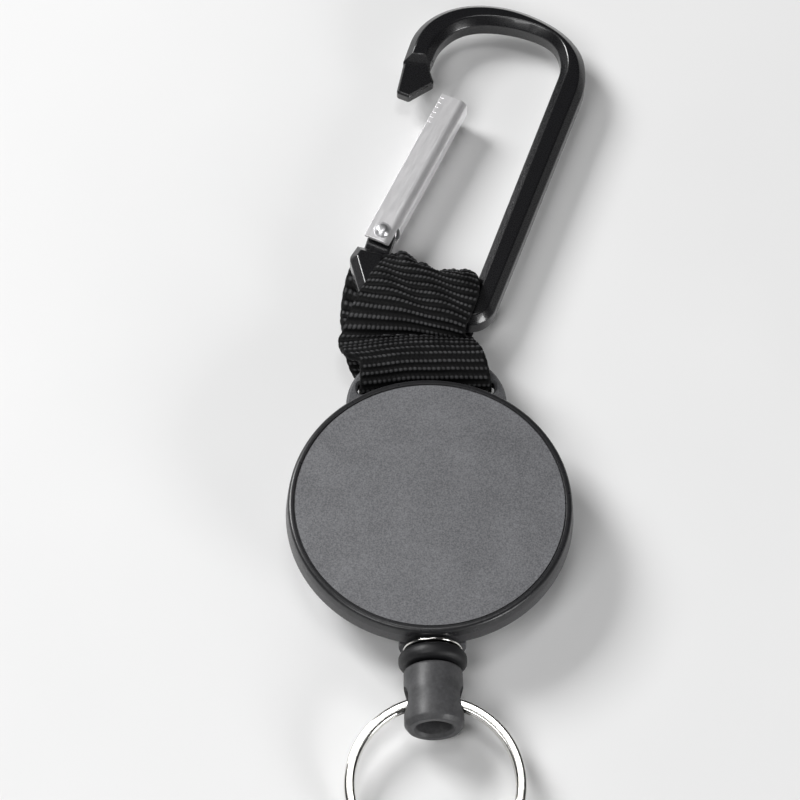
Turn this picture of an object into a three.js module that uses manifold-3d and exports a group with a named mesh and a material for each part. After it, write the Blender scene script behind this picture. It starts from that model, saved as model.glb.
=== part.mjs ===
// Retractable badge reel: a round spring reel, a webbing strap to a carabiner with a hinged gate,
// and a split ring on the cord. Millimetres. The reel lies on its back: +Z out of its face,
// +Y towards the carabiner, and the cord leaves towards -Y.
import * as THREE from 'three';
import { mergeVertices } from 'three/addons/utils/BufferGeometryUtils.js';
import Module from 'manifold-3d';

const wasm = await Module();
wasm.setup();

const ROUND = 72; // facets of a full turn on the large round pieces
const SMALL_ROUND = 32; // facets of a full turn on the small round pieces
const WELD = 1e-3;
const GAP = 0.3; // space left between pieces that touch

// case
const CASE_H = 10.2;
const CASE_R = 20.3;
const FACE_R = 19.3;
const WALL = 1.4;
const SEAM_Z = 6.6;
const REAR_FLAT_R = 15.5;
const POST_R = 2.45;
const POST_TOP = CASE_H - 1.7;
const FLAT_Y = -20.0; // the flat pad on the wall where the cord leaves
const CORD_Z = 5.1; // height of the cord where it leaves the case
const EXIT_HOLE_R = 2.0;
const BOSS_R = 4.7; // the rear case stands out round the exit, to carry the eyelet

// ear that carries the strap
const EAR_T = 2.2;
const STRAP_Z = 4.2; // mid-height of the ear, the strap and the carabiner
const EAR_TOP_Y = 27.1;
const EAR_CORNER_R = 8.4;
const EAR_SIDE_X = 11.6;
const SLOT_HALF = 9.85;
const SLOT_Y0 = 20.75;
const SLOT_Y1 = 22.4;

// drum
const DRUM_Z0 = 1.9;
const DRUM_Z1 = CASE_H - 1.9;
const FLANGE_T = 0.8;
const FLANGE_R = 16.0;
const BARREL_R = 10.6;
const BARREL_IN_R = 9.6;
const CORD_R = 0.375;
const WOUND_R0 = 10.9;
const WOUND_R1 = 12.1;
const WOUND_TURNS = 5;
const ANCHOR_AT = [0, 14.2];
const SPRING_R0 = 3.1;
const SPRING_R1 = 9.1;
const SPRING_TURNS = 11;
const SPRING_T = 0.2;

// cord end
const BUMPER_Y = -20.9;
const BUMPER_L = 2.4;
const BUMPER_R = 4.8;
const SLEEVE_Y = -23.6;
const SLEEVE_L = 8.8;
const SLEEVE_R = 4.2;
const SLEEVE_BORE_R = 2.5;
const RING_Y = -28.2; // where the split ring passes through the sleeve
const RING_HOLE_R = 2.1;
const RING_R = 11.75;
const RING_WIDE = 1.5;
const COIL_T = 0.85;
const COIL_STEP = 0.98;
const RING_SLOPE = THREE.MathUtils.degToRad(9);

// strap
const LOOP_Y = 24.8;
const LOOP_IN_R = 2.75;
const LOOP_OUT_R = 3.95;
const STRAP_W = 19;
const WAIST_HALF_T = 1.3;
const STITCH_Y = 30.1;
const STITCH_HALF = 6;
const STITCH_R = 0.3;

// carabiner, in its own frame: u along its bottom bar, v towards its top, w through its thickness
const BAR_AT = [0.3, 35.9];
const LEAN = THREE.MathUtils.degToRad(-17);
const FRAME_T = 4.4;
const FRAME_CHAMFER = 1.1;
const PLATE_T = 1.9; // the nose and the tongue are forged thinner, to fit inside the gate
const PIVOT = [-9.4, 9.3];
const PIVOT_HOLE_R = 0.85;
const TONGUE_R = 1.9;
const GATE_L = 26;
const GATE_TAIL = 1.8;
const GATE_HALF = 2.1;
const GATE_SHEET = 0.55;
const GATE_CORNER_R = 1.3;
const GATE_AJAR = THREE.MathUtils.degToRad(-8.8);
const FORK_L = 1.6;

const FAIR = Infinity; // rounding that runs from the middle of one side to the middle of the next

// outline corners of the carabiner's frame: u, v, rounding
const FRAME_OUTLINE = [
  [-14.9, 39.8, 0],
  [-14.8, 46.6, FAIR],
  [-10.4, 52.0, FAIR],
  [-2.8, 54.3, FAIR],
  [5.6, 52.9, FAIR],
  [11.0, 49.2, FAIR],
  [13.0, 43.6, 14],
  [9.9, -2.3, 5],
  [-9.3, -2.3, 3.5],
  [-12.9, 3.9, 1.4],
  [-12.3, 6.2, 0],
  [-7.2, 6.2, 0],
  [-6.9, 2.2, 1.5],
  [6.1, 2.2, 1.8],
  [8.6, 45.6, 7],
  [6.4, 49.9, FAIR],
  [-0.6, 50.8, FAIR],
  [-7.3, 49.2, FAIR],
  [-10.5, 45.0, FAIR],
  [-10.8, 40.4, 0],
];
const NOSE_OUTLINE = [
  [-14.6, 41.6, 0],
  [-10.6, 41.6, 0],
  [-11.0, 40.2, 0],
  [-9.4, 37.6, 0.5],
  [-12.4, 34.0, 0.6],
  [-14.4, 34.3, 0.6],
  [-14.8, 39.6, 0],
];

function weld(geometry) {
  const bare = geometry.clone();
  bare.deleteAttribute('normal');
  bare.deleteAttribute('uv');
  const merged = mergeVertices(bare, WELD);
  const at = merged.attributes.position.array;
  const from = merged.index.array;
  const kept = [];
  for (let i = 0; i < from.length; i += 3) {
    const [a, b, c] = [from[i], from[i + 1], from[i + 2]];
    if (a !== b && b !== c && c !== a) kept.push(a, b, c);
  }
  if (volume(at, kept) < 0) kept.reverse();
  return { at: new Float32Array(at), kept: new Uint32Array(kept) };
}

function volume(at, index) {
  const corner = [new THREE.Vector3(), new THREE.Vector3(), new THREE.Vector3()];
  let six = 0;
  for (let i = 0; i < index.length; i += 3) {
    corner.forEach((p, k) => p.fromArray(at, index[i + k] * 3));
    six += corner[0].dot(corner[1].cross(corner[2]));
  }
  return six / 6;
}

function solid(geometry) {
  const { at, kept } = weld(geometry);
  return new wasm.Manifold(new wasm.Mesh({ numProp: 3, vertProperties: at, triVerts: kept }));
}

function geometryOf(manifold) {
  const mesh = manifold.getMesh();
  const geometry = new THREE.BufferGeometry();
  geometry.setAttribute('position', new THREE.BufferAttribute(mesh.vertProperties, 3));
  geometry.setIndex(new THREE.BufferAttribute(mesh.triVerts, 1));
  return geometry;
}

function profilePoints(pairs) {
  return pairs.map(([r, h]) => new THREE.Vector2(r, h));
}

function latheY(pairs, segments = SMALL_ROUND) {
  return new THREE.LatheGeometry(profilePoints(pairs), segments);
}

function latheZ(pairs, segments = ROUND) {
  return latheY(pairs, segments).rotateX(Math.PI / 2);
}

function ringPairs(r0, r1, h0, h1) {
  return [[r0, h0], [r1, h0], [r1, h1], [r0, h1], [r0, h0]];
}

function roundedShape(corners) {
  const points = corners.map(([x, y]) => new THREE.Vector2(x, y));
  const shape = new THREE.Shape();
  points.forEach((corner, i) => {
    const before = points[(i + points.length - 1) % points.length].clone().sub(corner);
    const after = points[(i + 1) % points.length].clone().sub(corner);
    const opening = Math.abs(before.angleTo(after));
    const back = corners[i][2] / Math.tan(opening / 2);
    const reach = (side) => (back === FAIR ? side.length() / 2 : back);
    const start = corner.clone().add(before.setLength(reach(before)));
    const end = corner.clone().add(after.setLength(reach(after)));
    if (i === 0) shape.moveTo(start.x, start.y);
    else shape.lineTo(start.x, start.y);
    if (back > 0) shape.quadraticCurveTo(corner.x, corner.y, end.x, end.y);
  });
  return shape;
}

function circleShape(r, x = 0, y = 0) {
  const shape = new THREE.Shape();
  shape.absarc(x, y, r, 0, 2 * Math.PI, false);
  return shape;
}

function plate(shape, thickness, chamfer, curveSegments = 10) {
  const geometry = new THREE.ExtrudeGeometry(shape, {
    depth: thickness - 2 * chamfer,
    bevelEnabled: chamfer > 0,
    bevelThickness: chamfer,
    bevelSize: chamfer,
    bevelOffset: -chamfer,
    bevelSegments: 1,
    curveSegments,
  });
  return geometry.translate(0, 0, chamfer - thickness / 2);
}

function straight(shape, depth, curveSegments) {
  return new THREE.ExtrudeGeometry(shape, { depth, bevelEnabled: false, curveSegments });
}

function swept(shape, extrudePath, steps, curveSegments) {
  return new THREE.ExtrudeGeometry(shape, { steps, extrudePath, curveSegments });
}

function tube(points, r, steps, sides = 4, closed = false) {
  const path = new THREE.CatmullRomCurve3(points.map((p) => new THREE.Vector3(...p)), closed);
  return swept(circleShape(r), path, steps, sides);
}

function cylinderX(r, y, z) {
  return new THREE.CylinderGeometry(r, r, 40, SMALL_ROUND).rotateZ(Math.PI / 2).translate(0, y, z);
}

function cylinderY(r, y0, y1, z) {
  return new THREE.CylinderGeometry(r, r, y1 - y0, SMALL_ROUND).translate(0, (y0 + y1) / 2, z);
}

function cylinderZ(r, z0, z1, x = 0, y = 0) {
  const geometry = new THREE.CylinderGeometry(r, r, z1 - z0, SMALL_ROUND).rotateX(Math.PI / 2);
  return geometry.translate(x, y, (z0 + z1) / 2);
}

function box(x0, x1, y0, y1, z0, z1) {
  const geometry = new THREE.BoxGeometry(x1 - x0, y1 - y0, z1 - z0);
  return geometry.translate((x0 + x1) / 2, (y0 + y1) / 2, (z0 + z1) / 2);
}

// from the carabiner's own frame to the strap's
function onBar(geometry) {
  return geometry.rotateZ(LEAN).translate(BAR_AT[0], BAR_AT[1], 0);
}

// case

function cutExit(shell) {
  const pad = box(-6, 6, -CASE_R - 1, FLAT_Y, 0, CASE_H - 0.9);
  const hole = cylinderY(EXIT_HOLE_R, -CASE_R, -FLANGE_R - 0.5, CORD_Z);
  const seat = cylinderY(3, -17.8, -FLANGE_R - 0.2, CORD_Z);
  return shell.subtract(solid(pad)).subtract(solid(hole)).subtract(solid(seat));
}

function exitBoss(rim) {
  const boss = solid(cylinderY(BOSS_R, -CASE_R, -FLANGE_R, CORD_Z));
  const inside = solid(cylinderZ(17.2, 0, CASE_H));
  const spigot = solid(cylinderZ(19.0, SEAM_Z - 1.1, CASE_H));
  const above = solid(box(-6, 6, -CASE_R - 1, 0, rim, CASE_H));
  return boss.subtract(inside).subtract(spigot).subtract(above);
}

function earShape() {
  const low = 12;
  const shape = roundedShape([
    [-EAR_SIDE_X, low, 0],
    [EAR_SIDE_X, low, 0],
    [EAR_SIDE_X, EAR_TOP_Y, EAR_CORNER_R],
    [-EAR_SIDE_X, EAR_TOP_Y, EAR_CORNER_R],
  ]);
  shape.holes.push(roundedShape([
    [-SLOT_HALF, SLOT_Y0, 0.6],
    [-SLOT_HALF, SLOT_Y1, 0.6],
    [SLOT_HALF, SLOT_Y1, 0.6],
    [SLOT_HALF, SLOT_Y0, 0.6],
  ]));
  return shape;
}

function rearCase() {
  const rim = SEAM_Z - 0.2;
  const shell = solid(latheZ([
    [0, 0], [REAR_FLAT_R, 0], [16.5, 0.35], [17.7, 1.6], [18.8, 3.4], [19.6, 5.3],
    [CASE_R - 0.35, 5.9], [CASE_R - 0.35, rim], [19.05, rim], [18.95, 5.5], [17.8, 3.5],
    [16.9, 2.1], [16.2, WALL], [POST_R + 0.5, WALL], [POST_R, WALL + 0.5],
    [POST_R, POST_TOP - 0.3], [POST_R - 0.3, POST_TOP], [0, POST_TOP],
  ]));
  const ear = solid(plate(earShape(), EAR_T, 0.35).translate(0, 0, STRAP_Z));
  const inside = solid(cylinderZ(18.2, 0, CASE_H));
  return geometryOf(cutExit(shell.add(ear.subtract(inside)).add(exitBoss(rim))));
}

function frontCover() {
  const roof = CASE_H - WALL;
  const shell = solid(latheZ([
    [0, CASE_H], [FACE_R, CASE_H], [19.65, CASE_H - 0.1], [19.95, CASE_H - 0.4], [20.05, CASE_H - 0.9],
    [CASE_R, SEAM_Z], [18.6, SEAM_Z], [18.6, SEAM_Z - 0.8], [17.9, SEAM_Z - 0.8], [17.9, SEAM_Z + 0.6],
    [18.6, SEAM_Z + 1.2], [18.4, roof - 0.5], [17.9, roof], [0, roof],
  ]));
  return geometryOf(cutExit(shell));
}

function exitEyelet() {
  const [bore, barrel, mouth, rim] = [0.75, 1.7, 2.7, 4.15];
  return latheY([
    [bore, -20.6], [rim - 0.15, -20.6], [rim, -20.45], [rim, -20.25], [barrel, -20.25], [barrel, -17.6],
    [mouth, -17.6], [mouth, -17.25], [mouth - 0.9, -17.15], [1.1, -17.8], [bore, -18.4], [bore, -20.6],
  ]);
}

// drum

function spool() {
  const bore = POST_R + GAP;
  const [low, high] = [DRUM_Z0 + FLANGE_T, DRUM_Z1 - FLANGE_T];
  const body = solid(latheZ([
    [bore, DRUM_Z0], [FLANGE_R, DRUM_Z0], [FLANGE_R, low], [BARREL_R, low],
    [BARREL_R, high], [FLANGE_R, high], [FLANGE_R, DRUM_Z1], [BARREL_IN_R, DRUM_Z1],
    [BARREL_IN_R, low], [bore, low], [bore, DRUM_Z0],
  ]));
  const [x, y] = ANCHOR_AT;
  return geometryOf(body.subtract(solid(cylinderZ(1.3, DRUM_Z0 - 1, low + 1, x, y))));
}

function springCover() {
  return latheZ(ringPairs(POST_R + GAP, BARREL_IN_R - GAP, DRUM_Z1 - 0.65, DRUM_Z1 - 0.05), SMALL_ROUND);
}

function powerSpring() {
  const steps = SPRING_TURNS * 24;
  const edge = (offset) => (i) => {
    const r = SPRING_R0 + ((SPRING_R1 - SPRING_R0) * i) / steps + offset;
    const turn = (2 * Math.PI * SPRING_TURNS * i) / steps;
    return new THREE.Vector2(r * Math.cos(turn), r * Math.sin(turn));
  };
  const along = Array.from({ length: steps + 1 }, (_, i) => i);
  const outline = [...along.map(edge(0)), ...along.map(edge(SPRING_T)).reverse()];
  const [z0, z1] = [DRUM_Z0 + FLANGE_T + 0.4, DRUM_Z1 - 1.0];
  return straight(new THREE.Shape(outline), z1 - z0, 1).translate(0, 0, z0);
}

function woundCord() {
  const [z0, z1] = [DRUM_Z0 + FLANGE_T + GAP, DRUM_Z1 - FLANGE_T - GAP];
  const step = (z1 - z0) / WOUND_TURNS;
  const pairs = [[WOUND_R0, z0]];
  for (let i = 0; i < WOUND_TURNS; i++) {
    const z = z0 + i * step;
    pairs.push([WOUND_R1 - 0.3, z], [WOUND_R1, z + 0.25 * step], [WOUND_R1, z + 0.75 * step]);
  }
  pairs.push([WOUND_R1 - 0.3, z1], [WOUND_R0, z1], [WOUND_R0, z0]);
  return latheZ(pairs, 40);
}

function cordAnchor() {
  const [x, y] = ANCHOR_AT;
  const [z0, z1, r, bevel] = [DRUM_Z0 + 0.1, DRUM_Z0 + 1.2, 1, 0.2];
  return latheZ([
    [0, z0], [r - bevel, z0], [r, z0 + bevel], [r, z1 - bevel], [r - bevel, z1], [0, z1],
  ], 20).translate(x, y, 0);
}

function cordLeadIn() {
  const bend = new THREE.Vector3(0, -17.7, 0);
  const r = WOUND_R1 + CORD_R + 0.1;
  const turn = Math.acos(r / -bend.y);
  const leave = new THREE.Vector3(r * Math.sin(turn), -r * Math.cos(turn), 0);
  const near = bend.clone().lerp(leave, 0.08);
  const path = new THREE.CurvePath();
  path.add(new THREE.LineCurve3(leave, near));
  path.add(new THREE.QuadraticBezierCurve3(near, bend, new THREE.Vector3(0, -18.9, 0)));
  return swept(circleShape(CORD_R), path, 20, 4);
}

// cord end

function pullCord() {
  const side = 0.56; // half the spacing of the two runs through the ferrule
  const turn = 1.85; // radius of the eye round the split ring
  const eye = [];
  for (let a = -60; a <= 240; a += 30) {
    const angle = THREE.MathUtils.degToRad(a);
    eye.push([0, RING_Y - turn * Math.sin(angle), turn * Math.cos(angle)]);
  }
  const there = [[0, -19.2, 0], [0, -22, 0], [0, -23.7, 0], [0, -24.7, side], [0, -25.9, side]];
  const back = [[0, -25.9, -side], [0, -25.1, -side], [0, -24.4, -side]];
  return tube([...there, ...eye.slice(1), ...back], CORD_R, 64);
}

function cordFerrule() {
  const stadium = (halfX, halfZ) => roundedShape([
    [-halfX, -halfZ, halfX], [halfX, -halfZ, halfX], [halfX, halfZ, halfX], [-halfX, halfZ, halfX],
  ]);
  const shape = stadium(1.15, 1.75);
  shape.holes.push(stadium(0.6, 1.2));
  const [front, back] = [-24.5, -26.0];
  return straight(shape, front - back, 6).rotateX(Math.PI / 2).translate(0, front, 0);
}

function rubberBumper() {
  const [y, r, hole] = [BUMPER_Y, BUMPER_R, CORD_R + GAP];
  return latheY([
    [hole, y - BUMPER_L], [r - 0.8, y - BUMPER_L], [r - 0.25, y - BUMPER_L + 0.35], [r, y - BUMPER_L + 0.9],
    [r, y - 0.9], [r - 0.25, y - 0.35], [r - 0.8, y], [hole, y], [hole, y - BUMPER_L],
  ], 40);
}

function rubberSleeve() {
  const [top, end] = [SLEEVE_Y, SLEEVE_Y - SLEEVE_L];
  const body = latheY([
    [0.8, top], [SLEEVE_R - 0.5, top], [SLEEVE_R, top - 0.5], [SLEEVE_R - 0.15, top - 3.5],
    [SLEEVE_R, end + 1.6], [SLEEVE_R + 0.05, end + 0.7], [SLEEVE_R - 0.6, end], [SLEEVE_BORE_R + 0.2, end],
    [SLEEVE_BORE_R, end + 0.3], [SLEEVE_BORE_R, top - 0.6], [0.8, top - 0.6], [0.8, top],
  ], 40);
  return geometryOf(solid(body).subtract(solid(cylinderX(RING_HOLE_R, RING_Y, 0))));
}

class SplitRingPath extends THREE.Curve {
  getPoint(t, target = new THREE.Vector3()) {
    const jog = THREE.MathUtils.degToRad(40);
    const angle = t * (4 * Math.PI - jog - 0.1);
    const rise = THREE.MathUtils.smootherstep(angle, 2 * Math.PI - jog, 2 * Math.PI) - 0.5;
    const start = THREE.MathUtils.degToRad(-50);
    return target.set(RING_R * Math.cos(start + angle), RING_R * Math.sin(start + angle), rise * COIL_STEP);
  }
}

function splitRing() {
  const [a, b] = [COIL_T / 2, RING_WIDE / 2];
  const section = new THREE.Shape(profilePoints([[-a, -b], [a, -b], [a, b], [-a, b]]));
  return swept(section, new SplitRingPath(), 110, 1).translate(0, -RING_R, 0);
}

// strap

function webbingLoop(x0, x1) {
  const shape = circleShape(LOOP_OUT_R);
  shape.holes.push(circleShape(LOOP_IN_R));
  return plate(shape, x1 - x0, 0.2, 16).rotateY(Math.PI / 2).translate((x0 + x1) / 2, 0, 0);
}

function waist() {
  return plate(roundedShape([
    [-9.2, 28.1, 0], [9.2, 28.1, 0], [8.4, 30.9, 1],
    [6.6, 31.4, 0], [-10.6, 36.5, 0], [-10.2, 30.7, 1],
  ]), 2 * WAIST_HALF_T, 0.2);
}

function strap() {
  const bar = solid(onBar(cylinderX(LOOP_IN_R, 0, 0)));
  const earBar = solid(cylinderX(LOOP_IN_R, LOOP_Y, 0));
  const underBar = solid(onBar(box(-20, 20, -20, -LOOP_IN_R + 0.05, -6, 6)));
  const earLoop = solid(webbingLoop(-STRAP_W / 2, STRAP_W / 2).translate(0, LOOP_Y, 0));
  const barLoop = solid(onBar(webbingLoop(-5.9, 5.1)));
  const skirt = solid(onBar(webbingLoop(-10.6, 7.6))).add(solid(waist())).intersect(underBar);
  let body = earLoop.add(barLoop).add(skirt).subtract(bar).subtract(earBar);
  for (const x of [-STITCH_HALF, STITCH_HALF]) {
    body = body.subtract(solid(cylinderZ(STITCH_R + GAP, -5, 5, x, STITCH_Y)));
  }
  return geometryOf(body);
}

function strapStitching() {
  const [x, z, bend] = [STITCH_HALF, WAIST_HALF_T + STITCH_R + 0.2, 0.4];
  const points = [
    [-x + bend, 0, z], [0, 0, z], [x - bend, 0, z], [x, 0, z - bend], [x, 0, bend - z],
    [x - bend, 0, -z], [0, 0, -z], [bend - x, 0, -z], [-x, 0, bend - z], [-x, 0, z - bend],
  ];
  return tube(points, STITCH_R, 48, 3, true).translate(0, STITCH_Y, 0);
}

// carabiner

function carabinerFrame() {
  const body = solid(plate(roundedShape(FRAME_OUTLINE), FRAME_T, FRAME_CHAMFER, 12));
  const nose = solid(plate(roundedShape(NOSE_OUTLINE), PLATE_T, 0.25, 6));
  const [u, v] = PIVOT;
  const stem = solid(plate(roundedShape([
    [u - TONGUE_R, 5, 0], [u + TONGUE_R, 5, 0], [u + TONGUE_R, v, 0], [u - TONGUE_R, v, 0],
  ]), PLATE_T, 0));
  const tip = solid(cylinderZ(TONGUE_R, -PLATE_T / 2, PLATE_T / 2, u, v));
  const hole = solid(cylinderZ(PIVOT_HOLE_R, -3, 3, u, v));
  return geometryOf(body.add(nose).add(stem).add(tip).subtract(hole));
}

function gate() {
  const half = GATE_HALF;
  const outer = roundedShape([
    [-half, -half, 0], [half, -half, GATE_CORNER_R], [half, half, GATE_CORNER_R], [-half, half, 0],
  ]);
  const bar = straight(outer, GATE_L + GATE_TAIL, 8);
  const inner = half - GATE_SHEET;
  const channel = box(-4, inner, -GATE_TAIL - 1, GATE_L + 1, -inner, inner);
  const fork = box(-4, 4, -GATE_TAIL - 1, FORK_L, -inner, inner);
  const hole = cylinderZ(PIVOT_HOLE_R, -3, 3);
  const body = solid(bar.rotateX(-Math.PI / 2).translate(0, -GATE_TAIL, 0));
  return geometryOf(body.subtract(solid(channel)).subtract(solid(fork)).subtract(solid(hole)));
}

function gateRivet() {
  const [shank, head, seat] = [PIVOT_HOLE_R - 0.08, 1.25, GATE_HALF + 0.12];
  return latheZ([
    [0, -seat - 0.65], [0.6, -seat - 0.55], [head, -seat - 0.2], [head, -seat], [shank, -seat],
    [shank, seat], [head, seat], [head, seat + 0.2], [0.6, seat + 0.55], [0, seat + 0.65],
  ], 24);
}

function gateSpring() {
  const [turns, r, v0, v1, wire] = [7, 0.95, 3.0, 12.0, 0.2];
  const points = [];
  for (let i = 0; i <= turns * 12; i++) {
    const angle = (i * Math.PI) / 6;
    points.push([r * Math.cos(angle) - 0.2, v0 + ((v1 - v0) * i) / (turns * 12), r * Math.sin(angle)]);
  }
  return tube(points, wire, turns * 12, 3);
}

// name, maker, colour, roughness, metalness
const CASE_PIECES = [
  ['rear_case', rearCase, 0x2b2b2e, 0.7, 0],
  ['front_cover', frontCover, 0x55565a, 0.75, 0],
];
const DRUM_PIECES = [
  ['spool', spool, 0xe6e2d8, 0.45, 0],
  ['spring_cover', springCover, 0xbfc2c6, 0.35, 1],
  ['power_spring', powerSpring, 0x8a8f98, 0.3, 1],
  ['wound_cord', woundCord, 0x222226, 0.5, 0],
  ['cord_anchor', cordAnchor, 0xc9a24a, 0.35, 1],
];
const EXIT_PIECES = [
  ['exit_eyelet', exitEyelet, 0xd0d0d0, 0.15, 1],
  ['cord_lead_in', cordLeadIn, 0x222226, 0.5, 0],
];
const CORD_END_PIECES = [
  ['pull_cord', pullCord, 0x222226, 0.5, 0],
  ['cord_ferrule', cordFerrule, 0xb8babd, 0.4, 1],
  ['rubber_bumper', rubberBumper, 0x141416, 0.55, 0],
  ['rubber_sleeve', rubberSleeve, 0x2c2c2f, 0.8, 0],
];
const RING_PIECES = [['split_ring', splitRing, 0xd8d8d6, 0.15, 1]];
const STRAP_PIECES = [
  ['strap', strap, 0x101012, 0.85, 0],
  ['strap_stitching', strapStitching, 0x18181a, 0.8, 0],
];
const CARABINER_PIECES = [['carabiner_frame', carabinerFrame, 0x0c0c0e, 0.3, 0.6]];
const PIVOT_PIECES = [['gate_rivet', gateRivet, 0xd9dadb, 0.2, 1]];
const GATE_PIECES = [
  ['gate', gate, 0xcfd0d2, 0.35, 1],
  ['gate_spring', gateSpring, 0xa8aab0, 0.3, 1],
];

function groupOf(pieces, position = [0, 0, 0]) {
  const group = new THREE.Group();
  for (const [name, make, color, roughness, metalness] of pieces) {
    const material = new THREE.MeshStandardMaterial({ color, roughness, metalness, name });
    const mesh = new THREE.Mesh(make(), material);
    mesh.name = name;
    group.add(mesh);
  }
  group.position.set(...position);
  return group;
}

const ring = groupOf(RING_PIECES, [0, RING_Y, 0]);
ring.rotation.x = RING_SLOPE;
const cordEnd = groupOf(CORD_END_PIECES, [0, 0, CORD_Z]);
cordEnd.add(ring);

const gateArm = groupOf(GATE_PIECES);
gateArm.rotation.z = GATE_AJAR;
const pivot = groupOf(PIVOT_PIECES, [PIVOT[0], PIVOT[1], 0]);
pivot.add(gateArm);
const carabiner = groupOf(CARABINER_PIECES, [BAR_AT[0], BAR_AT[1], 0]);
carabiner.rotation.z = LEAN;
carabiner.add(pivot);
const strapEnd = groupOf(STRAP_PIECES, [0, 0, STRAP_Z]);
strapEnd.add(carabiner);

const reel = groupOf(CASE_PIECES);
reel.name = 'badge_reel';
reel.add(groupOf(DRUM_PIECES), groupOf(EXIT_PIECES, [0, 0, CORD_Z]), cordEnd, strapEnd);

export default reel;
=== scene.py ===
"""Retractable badge reel: the looks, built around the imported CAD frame.

Shapes are written in millimetres, in the row frame (+Z out of the reel's face, +Y towards the
carabiner), and turned into metres when a piece is placed on its body.
"""

import math

import bmesh
import bpy
import numpy as np
from mathutils import Matrix, Vector


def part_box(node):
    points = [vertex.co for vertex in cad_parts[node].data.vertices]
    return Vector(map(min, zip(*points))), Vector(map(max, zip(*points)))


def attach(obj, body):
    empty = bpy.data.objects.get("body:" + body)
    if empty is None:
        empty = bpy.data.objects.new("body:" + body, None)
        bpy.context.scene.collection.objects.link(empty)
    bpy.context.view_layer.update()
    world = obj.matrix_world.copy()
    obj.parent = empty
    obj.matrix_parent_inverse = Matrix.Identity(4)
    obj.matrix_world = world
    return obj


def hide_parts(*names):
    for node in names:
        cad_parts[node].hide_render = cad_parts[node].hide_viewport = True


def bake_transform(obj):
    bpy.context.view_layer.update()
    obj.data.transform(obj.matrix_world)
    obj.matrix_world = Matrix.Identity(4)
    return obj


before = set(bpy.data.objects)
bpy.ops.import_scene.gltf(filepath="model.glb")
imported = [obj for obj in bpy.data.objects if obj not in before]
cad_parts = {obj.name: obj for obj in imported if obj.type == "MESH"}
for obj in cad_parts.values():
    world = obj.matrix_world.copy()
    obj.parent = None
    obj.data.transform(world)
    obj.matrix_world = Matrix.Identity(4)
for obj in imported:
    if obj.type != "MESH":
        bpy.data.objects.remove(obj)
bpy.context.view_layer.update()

MM = 0.001
FULL_TURN = 2 * math.pi


def in_mm(node):
    low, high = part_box(node)
    return low / MM, high / MM


# ---------------------------------------------------------------- driving sizes

cover_high = in_mm("front_cover")[1]
CASE_R = cover_high.x
FACE_Z = cover_high.z
FACE_R = CASE_R - 1.0
SEAM_Z = 6.6
SEAM_GAP = 0.22  # the dark line between the case's two halves
WALL = 1.4
BOSS_R = 4.7
PAD_Y = -20.0  # the flat on the wall where the cord leaves
CORD_Z = 5.1
CORD_R = 0.375

EAR_HALF_W, EAR_FOOT_Y, EAR_TOP_Y = 11.6, 12, 27.1
SLOT_HALF_W, SLOT_LOW_Y, SLOT_HIGH_Y = 9.9, 20.45, 22.35

STRAP_Z = 4.2  # mid-height of the ear, the strap and the carabiner
BAR_AT = Vector((0.3, 35.9))
LEAN = math.radians(-17)

PIVOT = Vector((-9.4, 9.3))  # in the carabiner's own frame
GATE_AJAR = math.radians(-8.8)
GATE_L = 26.0
GATE_TAIL = 1.8
GATE_HALF = 2.1
GATE_SHEET = 0.55
RIVET_HOLE_R = 0.85
PLATE_T = 1.9  # the carabiner's nose and the tongue between the gate's cheeks

RING_Y = -28.2
RING_SLOPE = math.radians(9)
RING_R = 11.75

FLOOR_HALF = 3
FLOOR_DROP = 0.00005  # metres, so that the floor does not share a plane with the case's back


# ---------------------------------------------------------------- camera, floor, lights

CAMERA_TURN = math.radians(-2.32)
CAMERA_RISE = math.radians(60.76)
CAMERA_ROLL = math.radians(1.52)
CAMERA_AWAY = 500.0
CAMERA_ASIDE = Vector((4.23, -14.44))
LENS = 160.4
LIGHT_AIM = Vector((0, 0.01, 0.005))
WORLD_GREYS = [(0.0, 0.5), (0.16, 0.45), (0.27, 0.07), (1.0, 0.045)]  # from below to overhead
WORLD_STRENGTH = 0.6


def camera_axes():
    flat = math.cos(CAMERA_RISE)
    back = Vector((
        math.sin(CAMERA_TURN) * flat,
        -math.cos(CAMERA_TURN) * flat,
        math.sin(CAMERA_RISE),
    ))
    right = Vector((math.cos(CAMERA_TURN), math.sin(CAMERA_TURN), 0))
    up = back.cross(right)
    across = right * math.cos(CAMERA_ROLL) + up * math.sin(CAMERA_ROLL)
    upward = up * math.cos(CAMERA_ROLL) - right * math.sin(CAMERA_ROLL)
    return across, upward, back


def make_camera():
    across, upward, back = camera_axes()
    centre = Vector((0, 0, FACE_Z))
    at = centre - across * CAMERA_ASIDE.x - upward * CAMERA_ASIDE.y + back * CAMERA_AWAY
    data = bpy.data.cameras.new("camera")
    data.sensor_width = 36
    data.lens = LENS
    data.clip_start, data.clip_end = 0.01, 50
    camera = bpy.data.objects.new("camera", data)
    turn = Matrix((across, upward, back)).transposed().to_4x4()
    camera.matrix_world = Matrix.Translation(at * MM) @ turn
    bpy.context.scene.collection.objects.link(camera)
    bpy.context.scene.camera = camera


def make_light(name, at, size, power):
    data = bpy.data.lights.new(name, "AREA")
    data.shape = "RECTANGLE"
    data.size, data.size_y = size
    data.energy = power
    light = bpy.data.objects.new(name, data)
    light.location = at
    light.rotation_euler = (LIGHT_AIM - Vector(at)).to_track_quat("-Z", "Y").to_euler()
    bpy.context.scene.collection.objects.link(light)


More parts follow.
